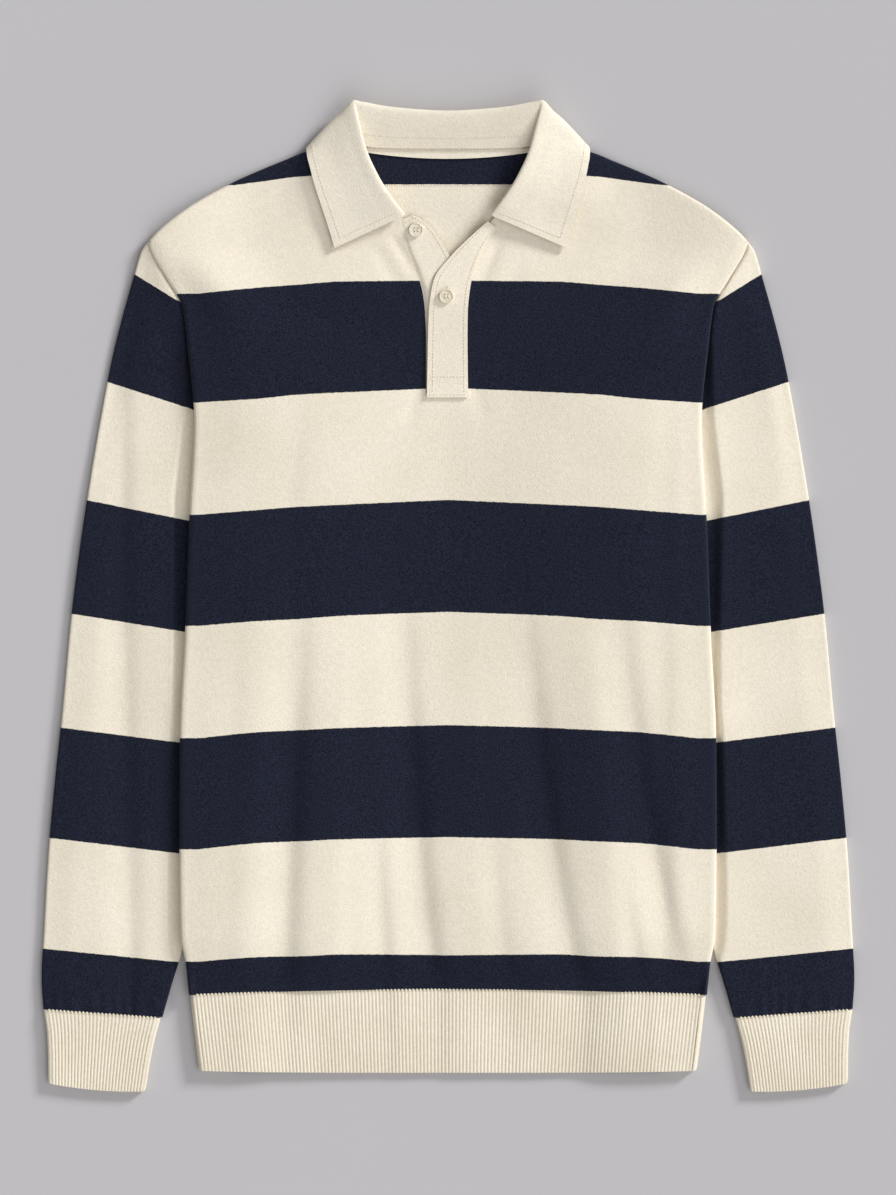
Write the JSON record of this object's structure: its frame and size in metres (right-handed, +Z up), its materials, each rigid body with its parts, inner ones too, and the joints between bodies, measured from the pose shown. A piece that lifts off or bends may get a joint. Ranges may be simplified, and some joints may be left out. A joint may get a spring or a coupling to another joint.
{
  "type": "rugby shirt",
  "caption": "Long-sleeved striped cotton rugby shirt with a fold-down collar and button placket, laid flat with its front up.",
  "frame": {"origin": "centre of the shirt's bounding box, on the surface that it lies on", "axes": "+Y from hem to collar, +X to the right of the picture, +Z up off the surface, out of the shirt's front"},
  "size_m": [0.642, 0.7805, 0.0181],
  "materials": {
    "striped_jersey": "matte knitted cotton with navy stripes",
    "rib_knit": "matte ribbed cotton",
    "collar_twill": "matte close-woven cotton",
    "button_resin": "satin"
  },
  "bodies": {
    "root": {"front": "striped_jersey", "back": "striped_jersey", "sleeve_left": "striped_jersey", "sleeve_right": "striped_jersey", "cuff_left": "rib_knit", "cuff_right": "rib_knit", "hem_band": "rib_knit", "collar": "collar_twill", "neck_tape": "collar_twill", "placket_upper": "collar_twill", "placket_under": "collar_twill", "button_top": "button_resin", "button_lower": "button_resin"}
  },
  "joints": []
}
